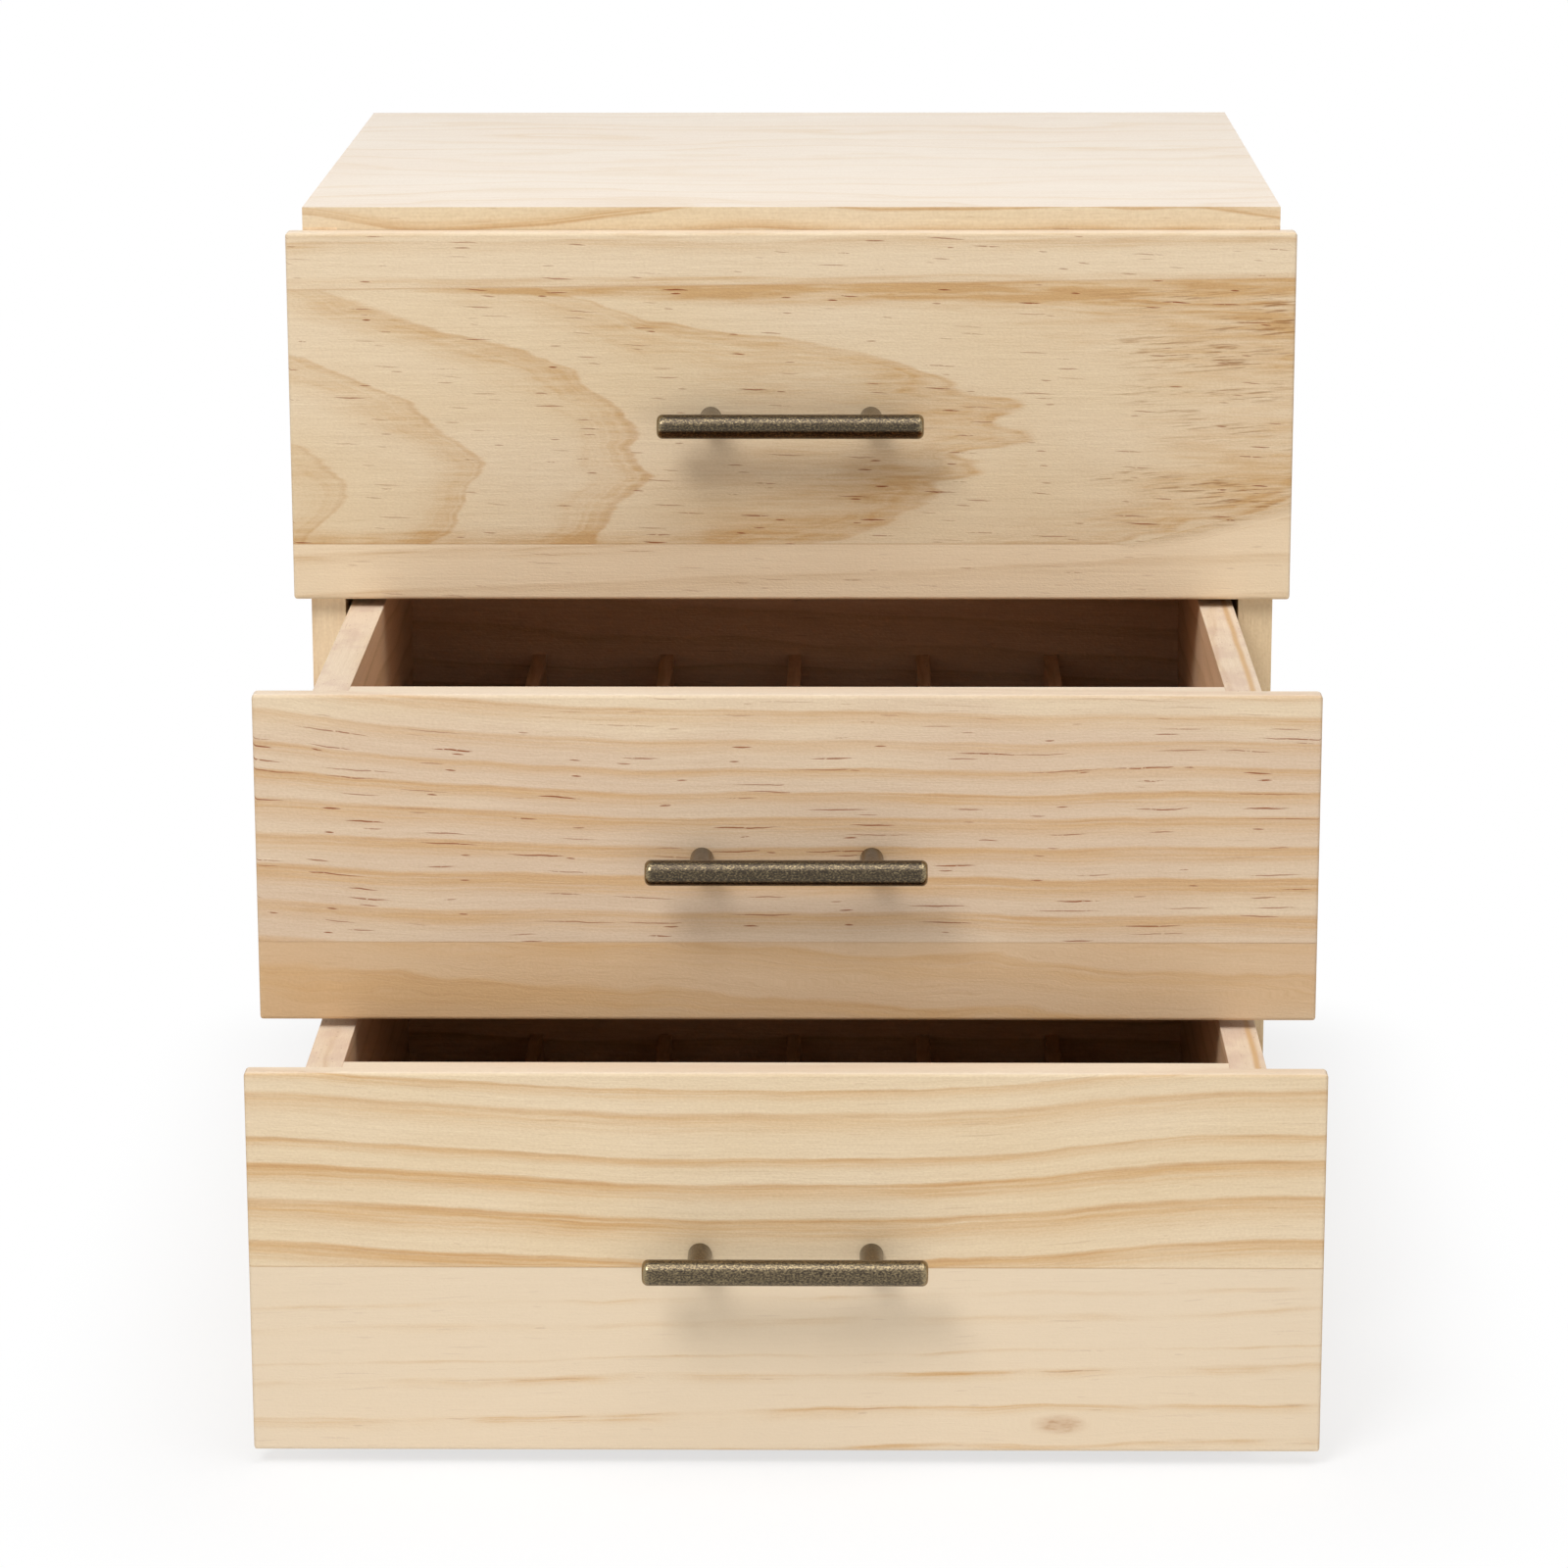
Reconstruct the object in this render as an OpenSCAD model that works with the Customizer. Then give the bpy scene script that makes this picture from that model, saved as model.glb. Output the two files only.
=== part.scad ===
// Pine storage box for small bottles: a carcass with three wide drawers, egg-crate dividers and bar pulls.
// Millimetres. The origin is the centre of the carcass's footprint, +X right, +Y back, +Z up.

/* [Carcass] */
// Width over the side panels
carcass_w = 340; // [310:1:400]
// Depth from the front edges to the back
carcass_d = 280; // [272:1:340]
// Height from the floor to the top surface
carcass_h = 390; // [375:1:430]
// Thickness of the top, bottom and side panels
board = 12; // [10:0.5:14]
// Depth of the step in the top and bottom panels that a side panel stands in
end_step = 5; // [3:0.5:7]
// Thickness of the two shelves
shelf_t = 9; // [6:0.5:12]
// Depth of the grooves in the side panels that hold the shelves
shelf_groove = 5; // [3:0.5:6]
// How far the shelves stay back from the carcass's front edges
shelf_setback = 8; // [7:0.5:14]
// Thickness of the back panel
back_t = 5; // [4:0.5:8]
// How far the back panel reaches over the boards around it
back_lap = 8; // [6:0.5:9]

/* [Drawer fronts] */
// How far a front stands out past each side of the carcass
front_overhang = 5.5; // [2:0.5:9]
// Thickness of a front
front_t = 12; // [10:0.5:13]
// Thickness of the lips that close on the carcass
lip_t = 6; // [5:0.5:8]
// Strip of the top panel that shows above the upper front
top_reveal = 8; // [5:0.5:9]
// Gap between the lower front and the surface that the box stands on
foot_reveal = 5; // [3:0.5:8]
// Gap between two fronts
front_gap = 3; // [2:0.5:5]
// Height of the middle front; the other two share what is left
middle_front_h = 111; // [104:1:118]
// Rounding along the arrises of the outer face
arris_r = 1.2; // [0.5:0.1:2.5]
// Rounding of the face's four corners
corner_r = 1.5; // [0.5:0.1:3]

/* [Drawer boxes] */
// Thickness of the drawer walls
wall_t = 12; // [9:0.5:14]
// Free space between a closed drawer and the back panel
rear_gap = 17.3; // [5:0.1:40]
// Gap between a drawer and the side panel next to it
side_gap = 2; // [1:0.25:4]
// Gap between a drawer and the board above it
head_gap = 2; // [1.5:0.25:4]
// Depth of the step in the side walls that the back wall stands in
back_step = 6; // [4:0.5:8]
// Thickness of the drawer floors
floor_t = 4; // [3:0.5:6]
// Depth of the grooves that hold the floor
floor_groove = 5; // [3:0.5:5.5]
// Height of the floor above the lower edge of the walls
floor_lift = 4; // [3:0.5:8]

/* [Dividers] */
// Number of cells across a drawer
columns = 6; // [3:1:6]
// Number of cells from front to back
rows = 4; // [3:1:5]
// Thickness of the dividers
divider_t = 5; // [3:0.5:6]
// Height of the dividers
divider_h = 52; // [30:1:70]

/* [Pulls] */
// Length of the bar
pull_l = 92.5; // [80:0.5:120]
// Diameter of the bar
pull_d = 8.5; // [7:0.5:10]
// Rounding of the bar's ends
pull_end_r = 2; // [0.5:0.1:2.5]
// Distance between the two posts
post_centres = 56; // [45:1:70]
// Diameter of the posts
post_d = 7.75; // [6.5:0.25:9]
// Distance of the bar's axis from the front
pull_reach = 18; // [14:0.5:25]
// How far above the middle of its front the lower pull sits
lower_pull_raise = 3.25; // [0:0.25:10]
// Diameter of the screws that hold the posts
pull_screw_d = 4; // [3:0.5:4.5]

/* [Rest position] */
// How far the lower drawer is pulled out
lower_open = 186; // [0:1:210]
// How far the middle drawer is pulled out
middle_open = 136; // [0:1:210]
// How far the upper drawer is pulled out
upper_open = 0; // [0:1:210]

/* [Hidden] */
$fn = 48;

// Fits between pieces
glue_fit = 0.1;
run_gap = 0.3;
screw_fit = 0.05;
hole_fit = 0.25;
loose_gap = 1;
cut = 1;

// Carcass
inner_w = carcass_w - 2 * board;
front_y = -carcass_d / 2;
back_y = carcass_d / 2;
back_face_y = back_y - back_t;
side_z = board - end_step;
side_h = carcass_h - 2 * side_z;
roof_z = carcass_h - board;

// Drawers, from the lowest up
DRAWERS = ["lower", "middle", "upper"];
LOWER = 0;
MIDDLE = LOWER + 1;
UPPER = len(DRAWERS) - 1;
open_by = [lower_open, middle_open, upper_open];
front_w = carcass_w + 2 * front_overhang;
end_front_h = (carcass_h - top_reveal - foot_reveal - 2 * front_gap - middle_front_h) / 2;
front_h = [end_front_h, middle_front_h, end_front_h];
front_z = [
    foot_reveal,
    foot_reveal + end_front_h + front_gap,
    foot_reveal + end_front_h + middle_front_h + 2 * front_gap
];
function front_top(i) = front_z[i] + front_h[i];
pull_raise = [lower_pull_raise, 0, 0];
function pull_z(i) = front_z[i] + front_h[i] / 2 + pull_raise[i];
closed_y = front_y - lip_t - run_gap;
function drawer_y(i) = closed_y - open_by[i];

// Shelves lie just above the drawer below them
function shelf_z(i) = front_top(i) + head_gap;
function bay_floor(i) = i == LOWER ? board : shelf_z(i - 1) + shelf_t;

// Drawer boxes: walls level with the front's top edge, except under the top panel
box_w = inner_w - 2 * side_gap;
inside_w = box_w - 2 * wall_t;
inside_y = front_t;
box_end_y = back_face_y - rear_gap - closed_y;
inside_end_y = box_end_y - wall_t;
inside_l = inside_end_y - inside_y;
function wall_z(i) = bay_floor(i) + run_gap;
function wall_top(i) = i == UPPER ? roof_z - head_gap : front_top(i);
function floor_z(i) = wall_z(i) + floor_lift;
function cell_z(i) = floor_z(i) + floor_t;

// The thick core of a front goes into the carcass, clear of the top and bottom panels
function core_z(i) = i == LOWER ? board + loose_gap : front_z[i];
function core_top(i) = i == UPPER ? roof_z - loose_gap : front_top(i);

// Screws
pull_head_d = 2 * pull_screw_d;
pull_head_h = 0.6 * pull_screw_d;
post_bite = 7;
recess_w = 0.25 * pull_screw_d;
recess_depth = 0.5 * pull_head_h;
back_screw_d = 3;
back_head_d = 6;
back_head_h = 1.8;
back_screw_l = 20;
back_screw_inset = 40;
back_screw_x = inner_w / 2 + back_lap / 2;
back_screw_z = board - back_lap / 2;
back_screw_places = concat(
    [for (x = [-back_screw_x, back_screw_x], z = [back_screw_inset, carcass_h / 2, carcass_h - back_screw_inset])
        [x, z]],
    [[0, back_screw_z], [0, carcass_h - back_screw_z]]
);

// Dividers: those that run front to back stop short of the screw heads in the front
grid_y = inside_y + pull_head_h + loose_gap;
grid_end_y = inside_end_y - run_gap;
cell_w = inside_w / columns;
cell_l = inside_l / rows;
lap_w = divider_t + 2 * glue_fit;
lap_h = divider_h / 2 + glue_fit;
function long_x(k) = -inside_w / 2 + k * cell_w;
function cross_y(k) = inside_y + k * cell_l;

// Colours
PINE = [0.90, 0.79, 0.62];
PINE_PALE = [0.93, 0.86, 0.74];
PLYWOOD = [0.82, 0.69, 0.51];
BRONZE = [0.36, 0.30, 0.23];
STEEL = [0.72, 0.72, 0.74];

LONG_DIVIDERS = [1 : columns - 1];
CROSS_DIVIDERS = [1 : rows - 1];
CARCASS_NODES = [
    "top_panel", "bottom_panel", "left_side", "right_side",
    "lower_shelf", "upper_shelf", "back_panel", "back_screws"
];
DRAWER_PIECES = [
    "front", "left_wall", "right_wall", "back_wall", "floor",
    "pull_bar", "pull_posts", "pull_screws"
];

// A block between two corners
module block(low, high) {
    translate(low) cube(high - low);
}

// The same block at the left and at the right
module both_sides() {
    children();
    mirror([1, 0, 0]) children();
}

// A cylinder along +Y
module along_y(d, l) {
    rotate([-90, 0, 0]) cylinder(d = d, h = l);
}

// Moves a drawer's pieces, drawn with the front's outer face at y = 0, to where the drawer is
module in_drawer(i) {
    translate([0, drawer_y(i), 0]) children();
}

// The recess that the back panel lies in
module back_recess() {
    block(
        [-inner_w / 2 - back_lap, back_face_y, board - back_lap],
        [inner_w / 2 + back_lap, back_y + cut, roof_z + back_lap]
    );
}

// One countersunk screw of the back panel, its head flush with the back
module back_screw(d, head_d) {
    translate([0, back_y - back_screw_l, 0]) along_y(d, back_screw_l);
    translate([0, back_y - back_head_h, 0])
        rotate([-90, 0, 0]) cylinder(d1 = d, d2 = head_d, h = back_head_h);
}

module at_back_screws() {
    for (place = back_screw_places) translate([place[0], 0, place[1]]) children();
}

module back_screw_holes() {
    at_back_screws() back_screw(back_screw_d + 2 * screw_fit, back_head_d + 2 * screw_fit);
}

module top_panel() {
    color(PINE_PALE) difference() {
        block([-carcass_w / 2, front_y, roof_z], [carcass_w / 2, back_y, carcass_h]);
        end_steps(roof_z - cut, roof_z + end_step);
        back_recess();
        back_screw_holes();
    }
}

module bottom_panel() {
    color(PINE) difference() {
        block([-carcass_w / 2, front_y, 0], [carcass_w / 2, back_y, board]);
        end_steps(side_z, board + cut);
        back_recess();
        back_screw_holes();
    }
}

// The steps that the side panels stand in, between two heights
module end_steps(low_z, high_z) {
    both_sides() block(
        [inner_w / 2, front_y - cut, low_z],
        [carcass_w / 2 + cut, back_y + cut, high_z]
    );
}

module right_side() {
    color(PINE) difference() {
        block([inner_w / 2, front_y, side_z], [carcass_w / 2, back_y, side_z + side_h]);
        for (i = [LOWER, MIDDLE]) shelf_slab(i, glue_fit);
        back_recess();
        back_screw_holes();
    }
}

module left_side() {
    mirror([1, 0, 0]) right_side();
}

// A shelf's slab, grown by a fit for the grooves that hold it
module shelf_slab(i, fit) {
    block(
        [-inner_w / 2 - shelf_groove - fit, front_y + shelf_setback - fit, shelf_z(i) - fit],
        [inner_w / 2 + shelf_groove + fit, back_face_y + fit - glue_fit, shelf_z(i) + shelf_t + fit]
    );
}

module lower_shelf() {
    color(PINE) shelf_slab(LOWER, 0);
}

module upper_shelf() {
    color(PINE) shelf_slab(MIDDLE, 0);
}

module back_panel() {
    color(PLYWOOD) difference() {
        block(
            [-inner_w / 2 - back_lap + glue_fit, back_face_y, board - back_lap + glue_fit],
            [inner_w / 2 + back_lap - glue_fit, back_y, roof_z + back_lap - glue_fit]
        );
        back_screw_holes();
    }
}

module back_screws() {
    color(STEEL) at_back_screws() back_screw(back_screw_d, back_head_d);
}

// A rectangle on the X axis whose two lower corners are rounded
module eased_edge(low, high, depth, r) {
    difference() {
        translate([low, 0]) square([high - low, depth]);
        translate([low, 0]) corner_waste(r);
        translate([high, 0]) mirror([1, 0]) corner_waste(r);
    }
}

// What a rounding takes off a corner at the origin
module corner_waste(r) {
    difference() {
        translate([-cut, -cut]) square(r + cut);
        translate([r, r]) circle(r);
    }
}

// A board standing on its edge with its outer face at y = 0, its arrises and corners rounded
module eased_board(w, low_z, high_z, t) {
    intersection() {
        translate([0, 0, low_z]) linear_extrude(high_z - low_z) eased_edge(-w / 2, w / 2, t, arris_r);
        translate([w / 2, 0, 0]) rotate([0, -90, 0]) linear_extrude(w) eased_edge(low_z, high_z, t, arris_r);
        translate([0, t, 0]) rotate([90, 0, 0]) linear_extrude(t) rounded_face(w, low_z, high_z);
    }
}

// The outline of a front seen square on
module rounded_face(w, low_z, high_z) {
    difference() {
        translate([-w / 2, low_z]) square([w, high_z - low_z]);
        both_sides() {
            translate([-w / 2, low_z]) corner_waste(corner_r);
            translate([-w / 2, high_z]) mirror([0, 1]) corner_waste(corner_r);
        }
    }
}

module at_posts(i) {
    for (x = [-post_centres / 2, post_centres / 2]) translate([x, 0, pull_z(i)]) children();
}

// The groove round the inside of a drawer that its floor lies in
module floor_slot(i) {
    block(
        [-inside_w / 2 - floor_groove, inside_y - floor_groove, floor_z(i) - glue_fit],
        [inside_w / 2 + floor_groove, inside_end_y + floor_groove, cell_z(i) + glue_fit]
    );
}

module drawer_front(i) {
    color(PINE) in_drawer(i) difference() {
        eased_board(front_w, front_z[i], front_top(i), front_t);
        both_sides() block(
            [inside_w / 2, lip_t, front_z[i] - cut],
            [front_w / 2 + cut, front_t + cut, front_top(i) + cut]
        );
        block([-front_w / 2, lip_t, front_z[i] - cut], [front_w / 2, front_t + cut, core_z(i)]);
        block([-front_w / 2, lip_t, core_top(i)], [front_w / 2, front_t + cut, front_top(i) + cut]);
        floor_slot(i);
        at_posts(i) translate([0, -cut, 0]) along_y(pull_screw_d + 2 * hole_fit, front_t + 2 * cut);
    }
}

module right_wall(i) {
    color(PINE_PALE) in_drawer(i) difference() {
        block([inside_w / 2, lip_t, wall_z(i)], [box_w / 2, box_end_y, wall_top(i)]);
        block(
            [inside_w / 2 - cut, inside_end_y, wall_z(i) - cut],
            [inside_w / 2 + back_step, box_end_y + cut, wall_top(i) + cut]
        );
        floor_slot(i);
    }
}

module left_wall(i) {
    mirror([1, 0, 0]) right_wall(i);
}

module back_wall(i) {
    color(PINE_PALE) in_drawer(i) difference() {
        block(
            [-inside_w / 2 - back_step, inside_end_y, wall_z(i)],
            [inside_w / 2 + back_step, box_end_y, wall_top(i)]
        );
        floor_slot(i);
    }
}

module drawer_floor(i) {
    reach = floor_groove - glue_fit;
    color(PLYWOOD) in_drawer(i) block(
        [-inside_w / 2 - reach, inside_y - reach, floor_z(i)],
        [inside_w / 2 + reach, inside_end_y + reach, cell_z(i)]
    );
}

// A divider that runs front to back, slotted from above
module long_divider(i, k) {
    x = long_x(k) - divider_t / 2;
    color(PINE) in_drawer(i) difference() {
        block([x, grid_y, cell_z(i)], [x + divider_t, grid_end_y, cell_z(i) + divider_h]);
        for (j = CROSS_DIVIDERS) block(
            [x - cut, cross_y(j) - lap_w / 2, cell_z(i) + divider_h - lap_h],
            [x + divider_t + cut, cross_y(j) + lap_w / 2, cell_z(i) + divider_h + cut]
        );
    }
}

// A divider that runs across, slotted from below
module cross_divider(i, k) {
    y = cross_y(k) - divider_t / 2;
    half_w = inside_w / 2 - run_gap;
    color(PINE) in_drawer(i) difference() {
        block([-half_w, y, cell_z(i)], [half_w, y + divider_t, cell_z(i) + divider_h]);
        for (j = LONG_DIVIDERS) block(
            [long_x(j) - lap_w / 2, y - cut, cell_z(i) - cut],
            [long_x(j) + lap_w / 2, y + divider_t + cut, cell_z(i) + lap_h]
        );
    }
}

// Moves to the middle of a pull's bar
module at_pull(i) {
    translate([0, -pull_reach, pull_z(i)]) children();
}

module pull_bar(i) {
    color(BRONZE) in_drawer(i) at_pull(i) rotate([0, 90, 0]) rotate_extrude() bar_profile();
}

// Half the bar's length section, with rounded ends
module bar_profile() {
    difference() {
        translate([0, -pull_l / 2]) square([pull_d / 2, pull_l]);
        for (side = [0, 1]) mirror([0, side])
            translate([pull_d / 2, -pull_l / 2]) mirror([1, 0]) corner_waste(pull_end_r);
    }
}

// Two posts, hollowed at their ends to the bar and drilled for their screws
module pull_posts(i) {
    color(BRONZE) in_drawer(i) difference() {
        at_posts(i) translate([0, -pull_reach, 0]) along_y(post_d, pull_reach);
        at_pull(i) rotate([0, 90, 0]) cylinder(d = pull_d + 2 * screw_fit, h = pull_l, center = true);
        at_posts(i) translate([0, -post_bite - cut, 0])
            along_y(pull_screw_d + 2 * screw_fit, post_bite + 2 * cut);
    }
}

// Two pan-head screws with crossed recesses, from inside the drawer
module pull_screws(i) {
    color(STEEL) in_drawer(i) at_posts(i) difference() {
        union() {
            translate([0, -post_bite, 0]) along_y(pull_screw_d, post_bite + front_t);
            translate([0, front_t, 0]) along_y(pull_head_d, pull_head_h);
        }
        for (turn = [0, 90]) rotate([0, turn, 0])
            translate([-pull_screw_d / 2, front_t + pull_head_h - recess_depth, -recess_w / 2])
                cube([pull_screw_d, recess_depth + cut, recess_w]);
    }
}

top_panel();
bottom_panel();
left_side();
right_side();
lower_shelf();
upper_shelf();
back_panel();
back_screws();
for (i = [LOWER : UPPER]) {
    drawer_front(i);
    left_wall(i);
    right_wall(i);
    back_wall(i);
    drawer_floor(i);
    pull_bar(i);
    pull_posts(i);
    pull_screws(i);
    for (k = LONG_DIVIDERS)
        long_divider(i, k);
    for (k = CROSS_DIVIDERS)
        cross_divider(i, k);
}
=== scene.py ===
"""Pine box with three drawers and bar pulls: materials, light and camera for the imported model."""
import math

import bpy
from mathutils import Matrix, Vector


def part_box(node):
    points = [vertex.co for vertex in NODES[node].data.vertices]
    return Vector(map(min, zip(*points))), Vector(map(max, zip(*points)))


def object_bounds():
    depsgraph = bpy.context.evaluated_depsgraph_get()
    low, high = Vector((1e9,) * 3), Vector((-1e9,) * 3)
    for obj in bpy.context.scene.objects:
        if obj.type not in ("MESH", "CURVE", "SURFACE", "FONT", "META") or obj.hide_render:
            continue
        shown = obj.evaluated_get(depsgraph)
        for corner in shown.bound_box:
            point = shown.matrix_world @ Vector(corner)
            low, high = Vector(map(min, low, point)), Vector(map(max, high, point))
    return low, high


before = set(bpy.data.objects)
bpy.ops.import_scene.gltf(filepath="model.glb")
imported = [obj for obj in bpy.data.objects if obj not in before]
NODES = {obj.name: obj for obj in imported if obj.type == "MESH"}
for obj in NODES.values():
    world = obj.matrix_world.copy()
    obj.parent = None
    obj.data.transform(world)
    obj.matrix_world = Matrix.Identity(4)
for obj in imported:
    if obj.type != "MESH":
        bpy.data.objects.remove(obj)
cad_low, cad_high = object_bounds()

MM = 0.001
DRAWERS = ("lower", "middle", "upper")


def linear(red, green, blue):
    """A colour written in display values from 0 to 255, as the linear colour that shaders take."""
    shares = [value / 255 for value in (red, green, blue)]
    return tuple(s / 12.92 if s <= 0.04045 else ((s + 0.055) / 1.055) ** 2.4 for s in shares) + (1.0,)


# Colours
EARLY_WOOD = linear(223, 202, 171)
PINK_WOOD = linear(210, 185, 158)
YELLOW_WOOD = linear(219, 196, 160)
PALE_WOOD = linear(223, 204, 178)
ROSE_WOOD = linear(204, 174, 156)
EDGE_WOOD = linear(232, 211, 189)
# The top's tones: partly the wood's own pale tone, partly painted top light.
LIT_TOP_WOOD = linear(244, 232, 217)
LIT_TOP_PINK = linear(242, 227, 210)
# Painted shade: redder, darker tones for the inside of the drawers, where the shade falls.
SHADED_INNER_WOOD = linear(231, 195, 159)
SHADED_INNER_PINK = linear(227, 188, 153)
LATE_WOOD = linear(198, 160, 111)
ORANGE_WOOD = linear(204, 164, 114)
TAN_WOOD = linear(202, 165, 122)
SOFT_LATE = linear(228, 203, 168)
RING_EDGE = linear(178, 131, 82)
RESIN = linear(138, 76, 38)
BROWN_STREAK = linear(146, 102, 56)
KNOT = linear(170, 124, 82)
# Painted light: a paler tone used on the left side, on the outside of the drawer walls and in the upper
# front's low strip.
LIT_PALE_WOOD = linear(236, 211, 177)
# Painted light and shade: the left side paler, as if lit from the left, the right side darker, as if in
# shade.
LIT_LEFT_WOOD = linear(242, 217, 181)
SHADED_RIGHT_WOOD = linear(226, 199, 160)
END_GRAIN = linear(196, 152, 104)
PLY_EARLY = linear(212, 174, 132)
PLY_LATE = linear(184, 140, 96)
PATINA = linear(68, 60, 51)
WORN_BRASS = linear(166, 148, 114)
STEEL_LIGHT = linear(205, 206, 208)
STEEL_DARK = linear(140, 142, 146)
FLOOR_WHITE = linear(243, 243, 243)

# Early wood, the other early wood beside it, late wood and the line at the end of a ring
FRONT_TONES = (EARLY_WOOD, YELLOW_WOOD, LATE_WOOD, RING_EDGE)
PINK_TONES = (PINK_WOOD, EARLY_WOOD, TAN_WOOD, RING_EDGE)
ORANGE_TONES = (EARLY_WOOD, YELLOW_WOOD, ORANGE_WOOD, RING_EDGE)
EDGE_TONES = (EDGE_WOOD, PALE_WOOD, LATE_WOOD, RING_EDGE)
LIT_OUTER_TONES = (LIT_PALE_WOOD, PALE_WOOD, LATE_WOOD, RING_EDGE)
LIT_LEFT_TONES = (LIT_LEFT_WOOD, LIT_PALE_WOOD, LATE_WOOD, RING_EDGE)
SHADED_RIGHT_TONES = (SHADED_RIGHT_WOOD, YELLOW_WOOD, LATE_WOOD, RING_EDGE)
SHADED_INNER_TONES = (SHADED_INNER_WOOD, SHADED_INNER_PINK, LATE_WOOD, RING_EDGE)
LIT_TOP_TONES = (LIT_TOP_WOOD, LIT_TOP_PINK, SOFT_LATE, SOFT_LATE)
PLY_TONES = (PLY_EARLY, PLY_EARLY, PLY_LATE, PLY_LATE)

# How far the streaks darken and lighten the wood's red and its blue
RED_RANGE = (0.84, 1.14)
BLUE_RANGE = (0.74, 1.24)

# The sealed surface: roughness from dark streaks to light ones, shine, and grain depth in millimetres
WOOD_ROUGHNESS = (0.64, 0.48)
WOOD_SHINE = 0.3
GRAIN_DEPTH = 0.1

# A face turns from one look to another between these shares of its normal along an axis
SQUARE_ON = (0.6, 0.95)
HALF_TURNED = (0.4, 0.8)

# Millimetres over which one board gives way to the next at a glue joint
JOINT_W = 0.3


class Field:
    """A number that varies over a surface. Arithmetic on it adds nodes to its material."""

    def __init__(self, tree, socket):
        self.tree = tree
        self.socket = socket

    def __add__(self, other):
        return self.tree.math("ADD", self, other)

    def __radd__(self, other):
        return self.tree.math("ADD", other, self)

    def __sub__(self, other):
        return self.tree.math("SUBTRACT", self, other)

    def __rsub__(self, other):
        return self.tree.math("SUBTRACT", other, self)

    def __mul__(self, other):
        return self.tree.math("MULTIPLY", self, other)

    def __rmul__(self, other):
        return self.tree.math("MULTIPLY", other, self)

    def __truediv__(self, other):
        return self.tree.math("DIVIDE", self, other)

    def __pow__(self, other):
        return self.tree.math("POWER", self, other)


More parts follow.
